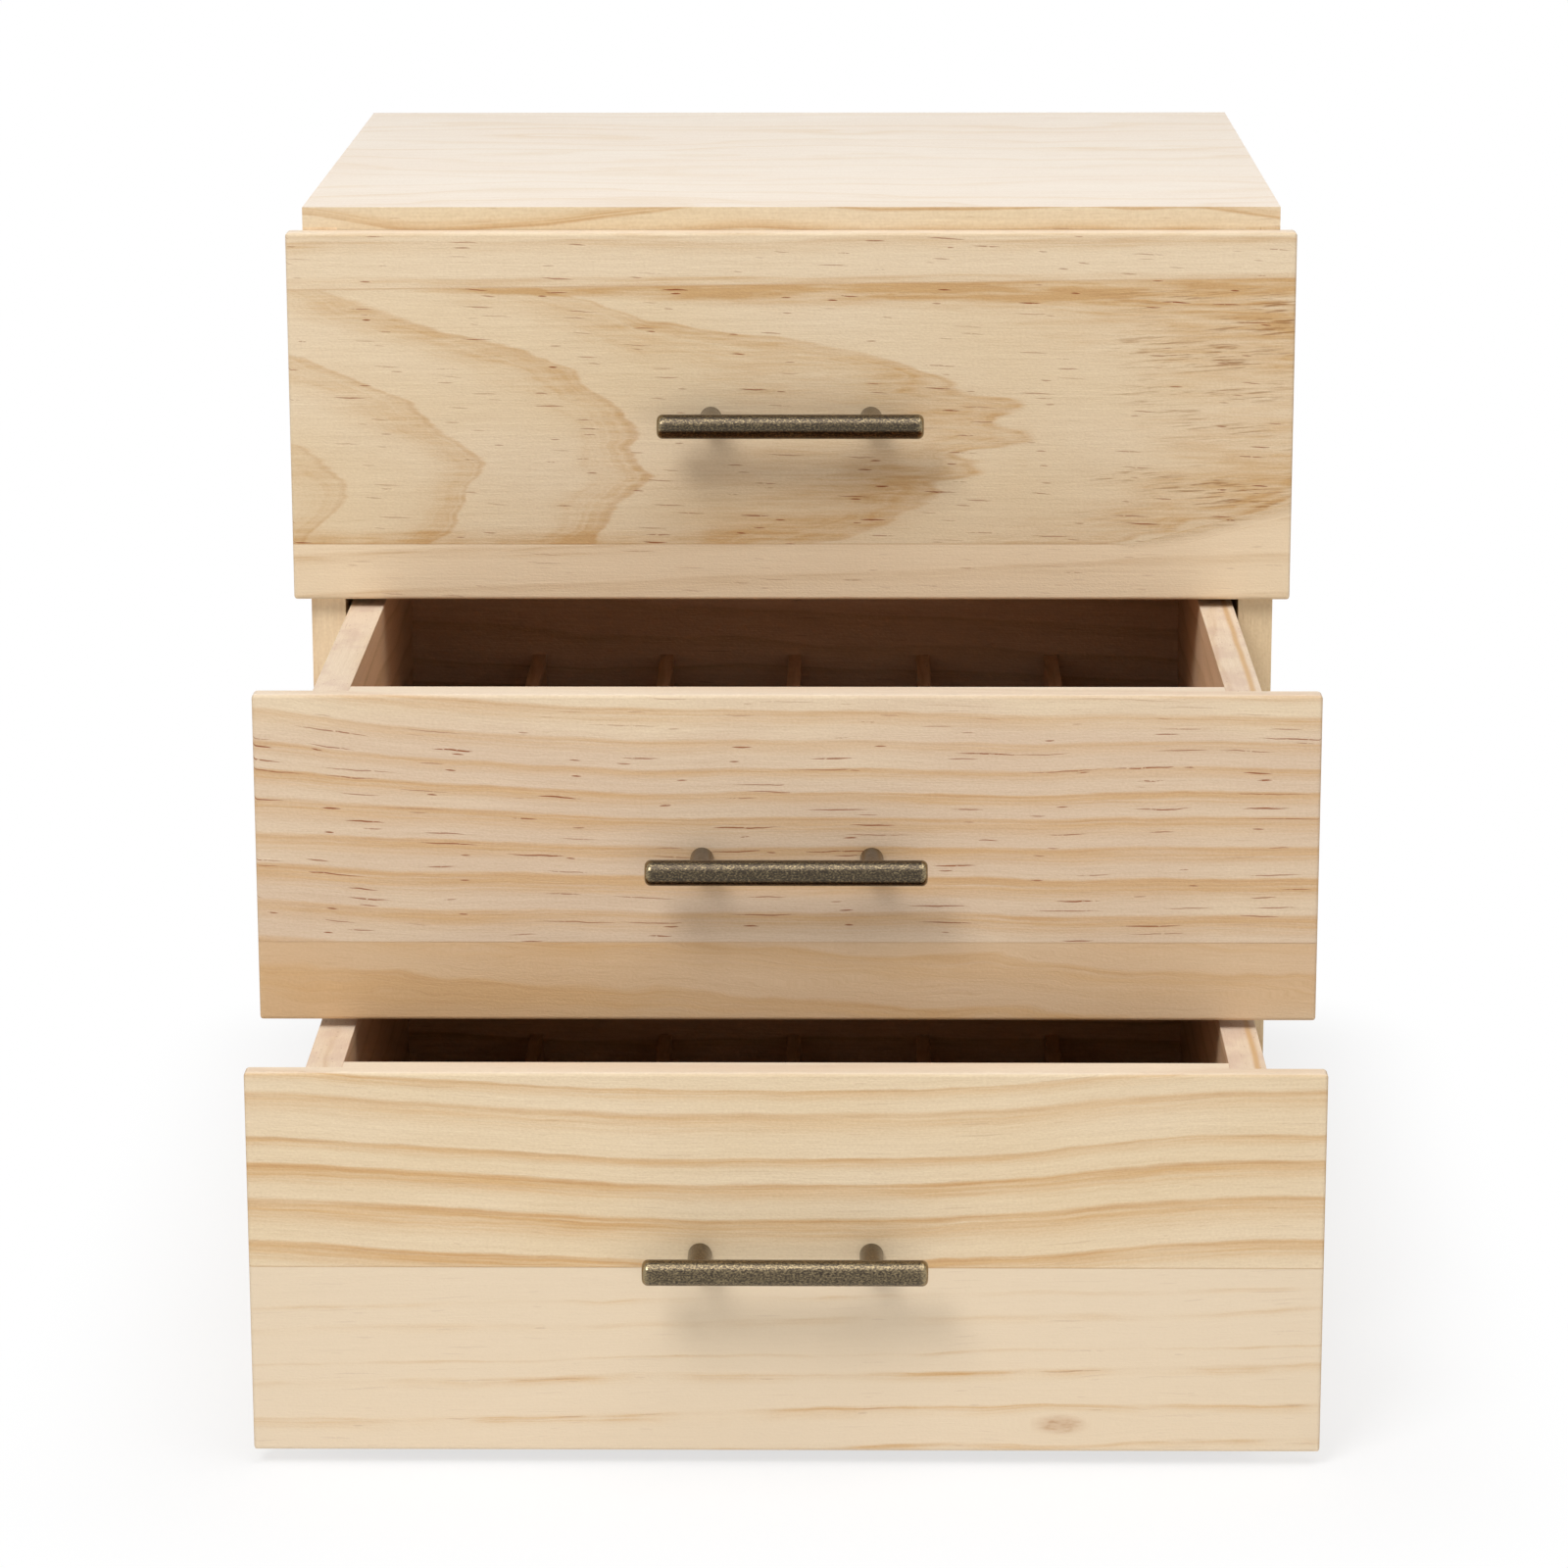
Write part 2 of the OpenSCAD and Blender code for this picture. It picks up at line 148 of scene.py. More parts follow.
class Tree:
    """One material's nodes. Most calls add a node and give back its output. Places are in millimetres."""

    def __init__(self, name):
        self.material = bpy.data.materials.new(name)
        self.material.use_nodes = True
        self.nodes = self.material.node_tree.nodes
        self.links = self.material.node_tree.links
        self.shader = self.nodes["Principled BSDF"]
        place = self.nodes.new("ShaderNodeTexCoord").outputs["Object"]
        self.x, self.y, self.z = (axis / MM for axis in self.split(place))
        geometry = self.nodes.new("ShaderNodeNewGeometry")
        self.facing = self.split(geometry.outputs["Normal"])

    def join(self, socket, value):
        """Links a field or an output to an input, or sets the input to a plain value."""
        if isinstance(value, Field):
            value = value.socket
        if isinstance(value, bpy.types.NodeSocket):
            self.links.new(value, socket)
        else:
            socket.default_value = value

    def split(self, vector):
        """The three parts of a vector, as fields."""
        node = self.nodes.new("ShaderNodeSeparateXYZ")
        self.join(node.inputs[0], vector)
        return [Field(self, output) for output in node.outputs]

    def vector(self, x, y, z=0.0):
        """Three fields or numbers as one vector."""
        node = self.nodes.new("ShaderNodeCombineXYZ")
        for socket, value in zip(node.inputs, (x, y, z)):
            self.join(socket, value)
        return node.outputs[0]

    def math(self, operation, *values, clamp=False):
        """One step of arithmetic, called by the node's own name for it."""
        node = self.nodes.new("ShaderNodeMath")
        node.operation = operation
        node.use_clamp = clamp
        for socket, value in zip(node.inputs, values):
            self.join(socket, value)
        return Field(self, node.outputs[0])

    def ramp(self, value, start, end, low=0.0, high=1.0, shape="SMOOTHSTEP"):
        """Goes from low to high while the value goes from start to end."""
        node = self.nodes.new("ShaderNodeMapRange")
        node.interpolation_type = shape
        for name, number in (("From Min", start), ("From Max", end), ("To Min", low), ("To Max", high)):
            self.join(node.inputs[name], number)
        self.join(node.inputs["Value"], value)
        return Field(self, node.outputs["Result"])

    def choose(self, share, low, high):
        """The field low where share is 0 and high where it is 1."""
        node = self.nodes.new("ShaderNodeMix")
        node.data_type = "FLOAT"
        for socket, value in zip((node.inputs[0], node.inputs[2], node.inputs[3]), (share, low, high)):
            self.join(socket, value)
        return Field(self, node.outputs[0])

    def tint(self, share, low, high, mode="MIX"):
        """The colour low where share is 0 and high where it is 1."""
        node = self.nodes.new("ShaderNodeMix")
        node.data_type = "RGBA"
        node.blend_type = mode
        for socket, value in zip((node.inputs[0], node.inputs[6], node.inputs[7]), (share, low, high)):
            self.join(socket, value)
        return node.outputs[2]

    def noise(self, x, y, z=0.0, detail=2.0, roughness=0.5):
        """Smooth noise from about -1 to 1, with features about one unit wide."""
        node = self.nodes.new("ShaderNodeTexNoise")
        node.noise_dimensions = "3D"
        self.join(node.inputs["Vector"], self.vector(x, y, z))
        self.join(node.inputs["Scale"], 1.0)
        self.join(node.inputs["Detail"], detail)
        self.join(node.inputs["Roughness"], roughness)
        return (Field(self, node.outputs["Fac"]) - 0.5) * 2.0

    def mottle(self, along, across, length, width, layer=0.0, detail=2.0, roughness=0.5):
        """Noise in patches of about this length and width. Each layer is another pattern."""
        return self.noise(along / length, across / width, layer, detail, roughness)

    def chance(self, value):
        """A random number from 0 to 1 for each whole value."""
        node = self.nodes.new("ShaderNodeTexWhiteNoise")
        node.noise_dimensions = "1D"
        self.join(node.inputs["W"], value)
        return Field(self, node.outputs["Value"])

    def scattered(self, x, y):
        """For each cell of a scattered grid: the way to its middle, and three random numbers."""
        node = self.nodes.new("ShaderNodeTexVoronoi")
        node.voronoi_dimensions = "2D"
        self.join(node.inputs["Vector"], self.vector(x, y))
        self.join(node.inputs["Scale"], 1.0)
        middle = self.split(node.outputs["Position"])
        return x - middle[0], y - middle[1], self.split(node.outputs["Color"])

    def bump(self, height, depth):
        """Raises the surface by a field, in millimetres."""
        node = self.nodes.new("ShaderNodeBump")
        node.inputs["Distance"].default_value = depth * MM
        self.join(node.inputs["Height"], height)
        self.join(self.shader.inputs["Normal"], node.outputs["Normal"])

    def set(self, **values):
        """Gives the shader's inputs values or fields, by their names."""
        for name, value in values.items():
            self.join(self.shader.inputs[name.replace("_", " ")], value)


# Growth rings and what lies in the wood between them

def ring_count(tree, place, starts):
    """How many of the places in starts lie behind a place, and the share of the way to the next."""
    return sum((tree.ramp(place, a, b, shape="LINEAR") for a, b in zip(starts, starts[1:])), 0.0)


def late_wood(tree, rings, along, start=0.3, edge=0.1):
    """How dark the wood is in its ring: it builds up slowly in fine lines, then ends quickly."""
    swell_l, line_l, lines_per_ring = 75, 90, 12
    phase = tree.math("FRACT", rings)
    ring = tree.math("FLOOR", rings)
    strength = tree.chance(ring) * 0.5 + 0.5
    swell = tree.noise(along / swell_l, ring * 5.3) * 0.6 + 1.0
    lines = tree.noise(rings * lines_per_ring, along / line_l, detail=3, roughness=0.7) * 1.5 + 0.95
    begin = tree.chance(ring + 31.5) * 0.3 + start
    builds_up = tree.ramp(phase, begin, 1 - edge)
    ends = tree.ramp(phase, 1 - edge, 1, 1, 0)
    return builds_up * ends * strength * swell * lines


def ring_edges(tree, rings, along, width=0.08, edge=0.1):
    """The thin dark line at the end of each ring, stronger in some stretches than in others."""
    stretch_l = 30
    phase = tree.math("FRACT", rings)
    uneven = tree.noise(along / stretch_l, tree.math("FLOOR", rings) * 3.7, detail=3) * 1.5 + 0.6
    line = tree.ramp(phase, 1 - edge - width, 1 - edge) * tree.ramp(phase, 1 - edge, 1, 1, 0)
    return tree.math("MAXIMUM", line * uneven, 0.0)


def resin_dashes(tree, along, across, amount=0.4, reach=6.0, seed=0.0):
    """Short dark dashes that follow the grain, broken here and there: at most one in each cell."""
    cell_l, cell_w = 34.0, 2.8
    shortest, thinnest = 1.8, 0.18
    wander = tree.mottle(along, across, length=9, width=6, layer=seed) * 0.5
    dx, dy, random = tree.scattered(along / cell_l + seed, (across + wander) / cell_w)
    half_l = (random[1] * random[1] * reach + shortest) / cell_l
    half_w = (random[2] * 0.12 + thinnest) / cell_w
    distance = (dx / half_l) ** 2 + tree.math("ABSOLUTE", dy) / half_w
    there = tree.ramp(random[0], 1 - amount, 1.04 - amount) * (random[2] * 0.4 + 0.6)
    broken = tree.ramp(tree.mottle(along, across, length=2.5, width=2.0, layer=seed), -0.45, -0.15)
    return tree.ramp(distance, 0.6, 1.0, 1, 0) * there * broken


def fibres(tree, along, across, depth=0.0):
    """Fine streaks along the grain and the specks of cut pores."""
    coarse = tree.mottle(along, across, length=42, width=1.3, layer=depth, detail=3, roughness=0.65)
    fine = tree.mottle(along, across, length=6, width=0.35, layer=depth, detail=2)
    pores = tree.mottle(along, across, length=1.1, width=0.6, layer=depth, detail=1)
    return coarse * 0.6 + fine * 0.45 + pores * 0.5


def seam(tree, place, joint):
    """The hairline where two boards are glued edge to edge."""
    core_half, seam_half, darkness = 0.1, 0.4, 0.35
    return tree.ramp(tree.math("ABSOLUTE", place - joint), core_half, seam_half, darkness, 0)


def oval_distance(tree, along, across, half_l, half_w):
    """How far a place lies from the middle of an oval, with 1 on its outline."""
    return tree.math("SQRT", (along / half_l) ** 2 + (across / half_w) ** 2)


def wood_colour(tree, late, edges, dashes, streaks, patches, tones):
    """Early wood darkening to late wood, with streaks, patches of another tint and resin."""
    early, other, dark, line = tones
    base = tree.tint(tree.ramp(patches, -0.5, 0.6), early, other)
    colour = tree.tint(late, base, dark)
    colour = tree.tint(edges, colour, line)
    red = tree.ramp(streaks, -1, 1, *RED_RANGE, shape="LINEAR")
    blue = tree.ramp(streaks, -1, 1, *BLUE_RANGE, shape="LINEAR")
    green = (red + blue) * 0.5
    colour = tree.tint(1.0, colour, tree.vector(red, green, blue), mode="MULTIPLY")
    return tree.tint(dashes, colour, RESIN)


def finish_wood(tree, colour, end_facing, streaks, late, top_light_share=0.0):
    """Sealed wood, darker where cut across the grain, paler on faces that look up as painted top light,
    with raised streaks.
    """
    cut_across = tree.ramp(tree.math("ABSOLUTE", end_facing), *SQUARE_ON) * 0.5
    # Painted light: faces that look up are tinted paler, as if lit from above.
    painted_top_light = tree.ramp(tree.facing[2], *SQUARE_ON) * top_light_share
    colour = tree.tint(painted_top_light, colour, LIT_TOP_PINK)
    tree.set(
        Base_Color=tree.tint(cut_across, colour, END_GRAIN),
        Roughness=tree.ramp(streaks, -1, 1, *WOOD_ROUGHNESS, shape="LINEAR"),
        Specular_IOR_Level=WOOD_SHINE,
    )
    tree.bump(streaks * 0.7 + late * 0.3, GRAIN_DEPTH)
    return tree.material


# Drawer fronts, with x along the front, y into it and d down from its top edge

def front_places(tree, name):
    """Along the front, into it, and down from its top edge."""
    low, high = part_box(name)
    return tree.x, tree.y - low.y / MM, high.z / MM - tree.z


def arched_rings(tree, x, y, d):
    """Rings of a flat-sawn board: arches that point right, with fingers at the tip of the largest."""
    tips = (-200, -155, -109, -50, 78, 262, 420)
    through = 40
    axis = 77 - 0.088 * x
    half_above = tree.ramp(x, -175, -100, 36, 51, shape="LINEAR")
    half_below = 47.0
    half = tree.choose(tree.ramp(d, axis - 4, axis + 4), half_above, half_below)
    bend = tree.ramp(x, -175, -50, 1.15, 2.0, shape="LINEAR")
    spread = (tree.math("ABSOLUTE", d - axis) / half) ** bend
    at_tip = tree.choose(tree.ramp(x, -40, 20), 0.3, tree.ramp(spread, 0.05, 0.6, 1, 0.4))
    fingers = tree.mottle(x, d, length=60, width=8.5, layer=6.0, detail=1.5) * 0.30 * at_tip
    wander = tree.mottle(x, d, length=60, width=18, layer=3.0) * 0.25
    feather = tree.mottle(x, d, length=14, width=1.4, layer=1.0) * 0.03
    return ring_count(tree, x, tips) + 20.0 + spread + fingers + wander + feather + y / through


def upper_front_wood():
    """A flat-sawn board with arches that point right, between two narrow strips."""
    tree = Tree("upper_front_pine")
    x, y, d = front_places(tree, "upper_front")
    top_joint = 18.0 - 0.012 * x
    low_joint = 110.0 - 0.27 * tree.math("MAXIMUM", x - 120.0, 0.0)
    top_spacing, low_spacing, through = 12.5, 14.0, 30
    rise = tree.mottle(x, d, length=90, width=40, layer=7.0) * 0.25
    top_rings = (d + 0.004 * x) / -top_spacing + rise + 0.16 + y / through
    low_rings = (d + 0.043 * x - 120) / -low_spacing + rise * 0.5 + y / through
    in_top = tree.ramp(d, top_joint, top_joint + JOINT_W, 1, 0)
    in_low = tree.ramp(d, low_joint, low_joint + tree.ramp(x, 110, 140, JOINT_W, 5))
    in_board = 1 - in_top - in_low
    rings = tree.choose(in_low, tree.choose(in_top, arched_rings(tree, x, y, d), top_rings), low_rings)

    # Dark stretches: along both joints, in the heart of the largest arch, and at the ragged right end
    clouds = tree.mottle(x, d, length=60, width=10, layer=5.0, detail=4, roughness=0.65)
    clouds = tree.ramp(clouds, -0.4, 0.4, 0.5, 1.2)
    band_w = tree.ramp(x, -130, 20, 2, 10)
    band = tree.ramp((d - top_joint) / band_w, 0.4, 1, 1, 0) * tree.ramp(x, -140, -110) * 0.9
    patchy = tree.ramp(tree.noise(x / 30, 3.0, 17.0), -0.3, 0.2, 0.3, 0.8)
    foot = tree.ramp(d, low_joint - 7, low_joint) * tree.ramp(x, 20, -40) * patchy
    heart_d = 92
    heart = tree.ramp(oval_distance(tree, x, d - heart_d, half_l=65, half_w=24), 0.4, 1.0, 0.3, 0)
    ragged = x + tree.mottle(x, d, length=40, width=7, layer=9.0, detail=3) * 45
    tan_end = tree.ramp(ragged, 105, 165) * 0.32
    patchy_top = tree.ramp(tree.mottle(x, d, length=40, width=3, layer=15.0), -0.3, 0.2)
    top_edge = tree.ramp(d, 0.5, 4, 0.3, 0) * patchy_top

    streaky = tree.mottle(x, d, length=32, width=1.7, layer=6.0, detail=3, roughness=0.6)
    streaky = tree.ramp(streaky, -0.4, 0.4, 0.55, 1.4)
    edge = tree.choose(in_board, 0.1, 0.045)
    late = late_wood(tree, rings, x, start=0.2, edge=edge) * clouds * tree.choose(in_board, 0.6, 0.85)
    late = (late + (band + foot + heart + tan_end) * in_board * clouds + top_edge) * streaky
    late = tree.math("MINIMUM", late, 1.0)
    edges = ring_edges(tree, rings, x, width=edge, edge=edge) * tree.choose(in_board, 0.15, 0.2)
    edges = edges + seam(tree, d, top_joint) + seam(tree, d, low_joint) * tree.ramp(x, 110, 125, 1, 0)
    dashes = resin_dashes(tree, x, d - 0.04 * x + y, amount=0.62, reach=6.0) * (late * 0.9 + 0.55)
    clusters = tree.ramp(tree.mottle(x, d, length=45, width=12, layer=12.0), -0.2, 0.25)
    clusters = clusters * tree.ramp(ragged, 95, 140)
    smear = tree.mottle(x, d + 0.06 * x, length=16, width=0.8, layer=8.0, detail=3, roughness=0.65)
    brown = tree.ramp(smear, 0.0, 0.3) * clusters * in_board * 0.85
    streaks = fibres(tree, x, d, y)
    patches = tree.mottle(x, d, length=120, width=45, layer=2.0) - 0.6 * (in_top + in_low)
    colour = wood_colour(tree, late, edges, dashes, streaks, patches, FRONT_TONES)
    colour = tree.tint(brown, colour, BROWN_STREAK)
    # Painted light: the low strip is tinted paler to make up for the shade near the front's lower edge.
    colour = tree.tint(in_low * (1 - late) * 0.5, colour, LIT_PALE_WOOD)
    return finish_wood(tree, colour, tree.facing[0], streaks, late, top_light_share=0.5)


def middle_front_wood():
    """Close wavy rings that fall from the left, over a plainer strip."""
    tree = Tree("middle_front_pine")
    x, y, d = front_places(tree, "middle_front")
    half_w = 175.0
    left = tree.math("MINIMUM", x / -half_w, 1.0, clamp=True)
    right = tree.math("MINIMUM", x / half_w, 1.0, clamp=True)
    fall = tree.math("MAXIMUM", 11.0 - d * 0.13, 4.5) * left ** 2
    fall = fall - tree.math("MAXIMUM", 3.3 - d * 0.15, 0.0) * right
    long_waves = tree.mottle(x, d, length=62, width=55, layer=1.0, detail=1) * 2.0
    waves = long_waves + tree.mottle(x, d, length=17, width=9, layer=4.0) * 0.4
    feather = tree.mottle(x, d, length=6, width=0.8, layer=2.0) * 0.35
    lines = (-6, 4.5, 14.7, 24.3, 32.3, 40.5, 50.7, 61.1, 73.6, 86, 100)
    wavy_through, strip_through, strip_spacing = 26, 30, 17.0
    across = d + fall + waves
    wavy = y / wavy_through - ring_count(tree, across + feather, lines)
    joint = 84.0
    slope = d - 0.06 * x + tree.mottle(x, d, length=60, width=14, layer=5.0, detail=3) * 7
    in_strip = tree.ramp(d, joint, joint + JOINT_W)
    rings = tree.choose(in_strip, wavy, slope / -strip_spacing + y / strip_through)
    across = tree.choose(in_strip, across, slope)

    edge = 0.14
    late = late_wood(tree, rings, x, start=0.05, edge=edge) * tree.choose(in_strip, 1.1, 0.7)
    soft = tree.ramp(tree.mottle(x, d, length=120, width=40, layer=11.0), -0.4, 0.4, 0.05, 0.4)
    soft = soft * tree.ramp(x, 90, 170, 1, 0.2)
    dark_corner = tree.ramp(x, -20, -150) * tree.ramp(d, joint + 8, joint + 24) * 0.5
    late = late + in_strip * (soft + dark_corner)
    edges = ring_edges(tree, rings, x, edge=edge) * tree.choose(in_strip, 0.2, 0.3)
    edges = edges + seam(tree, d, joint) * 0.6
    dashes = resin_dashes(tree, x, across + y, amount=0.6, reach=15.0, seed=2.0)
    dashes = dashes * tree.choose(in_strip, 1.0, 0.15) * tree.ramp(d, 3, 18, 0.3, 1)
    streaks = fibres(tree, x, across, y)
    patches = tree.mottle(x, d, length=110, width=40, layer=6.0) + tree.ramp(d, 4, 20, 0.2, -0.3)
    colour = wood_colour(tree, late, edges, dashes, streaks, patches, PINK_TONES)
    colour = tree.tint(in_strip * 0.35, colour, ORANGE_WOOD)
    return finish_wood(tree, colour, tree.facing[0], streaks, late, top_light_share=0.5)


def lower_front_wood():
    """Bold rings that sag in the middle, over a pale board with a pin knot."""
    tree = Tree("lower_front_pine")
    x, y, d = front_places(tree, "lower_front")
    sag = 8.4 * tree.ramp(x, -230, -10) * tree.ramp(x, 20, 165, 1, 0)
    long_waves = tree.mottle(x, d, length=60, width=50, layer=1.0, detail=1) * 1.6
    waves = long_waves + tree.mottle(x, d, length=16, width=8, layer=4.0) * 0.5
    feather = tree.mottle(x, d, length=8, width=0.9, layer=2.0) * 0.35
    bold_lines = (-12, -3, 4.5, 20, 28.5, 40.5, 55.5, 68, 82)
    faint_lines = (55, 76, 83, 96, 102, 115, 128, 140)
    bold_through, faint_through = 28, 30
    across = d - sag + waves
    bold = y / bold_through - ring_count(tree, across + feather, bold_lines)
    knot_x, knot_d = 90.0, 120.5
    knot_far = oval_distance(tree, x - knot_x, d - knot_d, half_l=10, half_w=4)
    swirl = tree.ramp(knot_far, 0.0, 3.2, 3.0, 0) * tree.ramp(d - knot_d, -3, 3, 1, -1)
    rising = d + 0.021 * x + tree.mottle(x, d, length=75, width=20, layer=8.0, detail=3) * 3.0 + swirl
    faint = y / faint_through - ring_count(tree, rising + feather, faint_lines)
    joint = 66.2
    in_pale = tree.ramp(d, joint, joint + JOINT_W)
    rings = tree.choose(in_pale, bold, faint)
    across = tree.choose(in_pale, across, rising)

    edge = 0.12
    bands = late_wood(tree, rings, x, start=0.1, edge=edge) * tree.ramp(x, -160, 180, 1.1, 0.85)
    broken = tree.mottle(x, rising, length=45, width=12, layer=14.0, detail=3)
    broken = tree.ramp(broken, -0.3, 0.25, 0.15, 1.1)
    thin = late_wood(tree, rings, x, start=0.45) * 0.8 * broken
    late = tree.choose(in_pale, bands, thin)
    edges = ring_edges(tree, rings, x, edge=edge) * tree.choose(in_pale, 0.3, 0.12)
    edges = edges + seam(tree, d, joint)
    dashes = resin_dashes(tree, x, across + y, amount=0.45, reach=12.0, seed=5.0)
    dashes = dashes * tree.choose(in_pale, 0.15, 0.5)
    speckle = tree.ramp(tree.mottle(x, d, length=4, width=1.2, layer=6.0, detail=3), -0.2, 0.5, 0.6, 1.2)
    knot = tree.ramp(knot_far, 0.2, 1.1, 0.65, 0) * speckle
    streaks = fibres(tree, x, across, y)
    patches = tree.mottle(x, d, length=130, width=50, layer=3.0)
    colour = wood_colour(tree, late, edges, dashes, streaks, patches, ORANGE_TONES)
    colour = tree.tint(in_pale * 0.75 * (1 - late), colour, PALE_WOOD)
    colour = tree.tint(knot, colour, KNOT)
    return finish_wood(tree, colour, tree.facing[0], streaks, late, top_light_share=0.5)


# Other boards, with a along the grain, c across it and t through the board

def board_wood(name, grain, strip_w, seed, spacing=10.5, through=16.0, contrast=0.7, tones=FRONT_TONES):
    """Edge-glued strips of pine. grain names the axes along, across and through the board.

    One ring takes up spacing across the grain and through in the board's thickness, in millimetres.
    """
    tree = Tree(name)
    place = {"x": tree.x, "y": tree.y, "z": tree.z}
    facing = dict(zip("xyz", tree.facing))
    a, c, t = (place[axis] for axis in grain)
    strip = tree.math("FLOOR", c / strip_w + seed)
    own = tree.chance(strip + seed)
    waves = tree.mottle(a, c, length=120, width=30, layer=own * 9 + seed, detail=3) * 0.7
    uneven = tree.noise(c / 50, own * 5 + seed, detail=1) * 2.2
    across = c + (own - 0.5) * 0.08 * a
    rings = across / spacing * (own * 0.6 + 0.6) + waves + uneven + own * 7 + t / through
    late = late_wood(tree, rings, a) * contrast
    edges = ring_edges(tree, rings, a) * contrast * 0.4
    dashes = resin_dashes(tree, a, across + t, amount=0.3, seed=seed) * contrast * 0.6
    streaks = fibres(tree, a, across, t)
    patches = tree.mottle(a, c, length=130, width=50, layer=seed) + (own - 0.5)
    colour = wood_colour(tree, late, edges, dashes, streaks, patches, tones)
    return finish_wood(tree, colour, facing[grain[0]], streaks, late)


def side_wood(name, seed, tones):
    """An upright side panel."""
    return board_wood(name, "zyx", strip_w=93.0, seed=seed, through=60.0, contrast=0.45, tones=tones)


def shaded_inner_wood(name, grain, seed):
    """A thin board inside a drawer, all of one piece, in tones made redder and darker as painted shade.
    """
    return board_wood(name, grain, strip_w=400.0, seed=seed, contrast=0.55, tones=SHADED_INNER_TONES)


def plywood(name, grain):
    """Rotary-cut veneer with broad soft figure."""
    return board_wood(name, grain, strip_w=900.0, seed=4.0, spacing=24.0, contrast=0.5, tones=PLY_TONES)


def wall_wood():
    """A drawer wall: pale outside and redder, darker inside as painted light and shade, and a top edge
    with rosy patches and pin holes.
    """
    tree = Tree("wall_pine")
    a, c, t = tree.y, tree.z, tree.x
    spacing, through = 12.0, 16.0
    uneven = tree.noise(c / 40, 9.0, detail=1) * 1.8
    waves = tree.mottle(a, c, length=110, width=30, layer=6.0, detail=3) * 0.7
    rings = c / spacing + uneven + waves + t / through
    late = late_wood(tree, rings, a) * 0.5
    edges = ring_edges(tree, rings, a) * 0.2
    dashes = resin_dashes(tree, a, c + t, amount=0.3, seed=1.0) * 0.3
    streaks = fibres(tree, a, c + t)
    patches = tree.mottle(a, c, length=130, width=50, layer=2.0)
    shaded_inside = wood_colour(tree, late, edges, dashes, streaks, patches, SHADED_INNER_TONES)
    lit_outside = wood_colour(tree, late, edges, dashes, streaks, patches, LIT_OUTER_TONES)
    # Painted shade on the faces that look into the drawer, painted light on the faces that look out.
    outward = tree.ramp(tree.facing[0] * tree.math("SIGN", t), *HALF_TURNED)
    face = tree.tint(outward, shaded_inside, lit_outside)

    edge = wood_colour(tree, late * 0.5, edges, dashes, streaks, patches, EDGE_TONES)
    rosy = tree.ramp(tree.mottle(a, t, length=22, width=14, layer=3.0, detail=3), -0.1, 0.3) * 0.5
    edge = tree.tint(rosy, edge, ROSE_WOOD)
    low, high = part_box("middle_right_wall")
    stripe_x = (low.x * 0.25 + high.x * 0.75) / MM + tree.noise(a / 70, 5.0) * 1.5
    stripe = tree.ramp(tree.math("ABSOLUTE", t - stripe_x), 0.2, 1.6, 0.8, 0)
    edge = tree.tint(stripe, edge, ORANGE_WOOD)
    hole_spacing = 5.0
    dx, dy, random = tree.scattered(a / hole_spacing, t / hole_spacing)
    near = tree.math("SQRT", dx * dx + dy * dy)
    holes = tree.ramp(near, 0.03, 0.07, 0.6, 0) * tree.ramp(random[0], 0.55, 0.6)
    edge = tree.tint(holes, edge, RESIN)
    upward = tree.ramp(tree.facing[2], *HALF_TURNED)
    return finish_wood(tree, tree.tint(upward, face, edge), tree.facing[1], streaks, late)


def top_panel_wood():
    """A pale face, partly its own pale wood and partly painted top light, and edges that show the board's
    darker side grain in long wedges.
    """
    tree = Tree("top_pine")
    x, y = tree.x, tree.y
    depth = cad_high[2] / MM - tree.z
    spacing, through = 26.0, 9.0
    waves = tree.mottle(x, y, length=150, width=45, layer=2.0) * 2.2
    rings = y / spacing + waves + depth / through
    on_edge = tree.ramp(tree.math("ABSOLUTE", tree.facing[2]), *HALF_TURNED, 1, 0)
    late = late_wood(tree, rings, x) * tree.choose(on_edge, 0.35, 0.8)
    edges = ring_edges(tree, rings, x) * tree.choose(on_edge, 0.15, 0.4)
    dashes = resin_dashes(tree, x, y + depth, amount=0.25, seed=3.0) * tree.choose(on_edge, 0.1, 0.3)
    streaks = fibres(tree, x, y, depth)
    patches = tree.mottle(x, y, length=130, width=50, layer=4.0)
    face = wood_colour(tree, late, edges, dashes, streaks, patches, LIT_TOP_TONES)
    side = wood_colour(tree, late, edges, dashes, streaks, patches, FRONT_TONES)
    return finish_wood(tree, tree.tint(on_edge, face, side), tree.facing[0], streaks, late)


# Metal

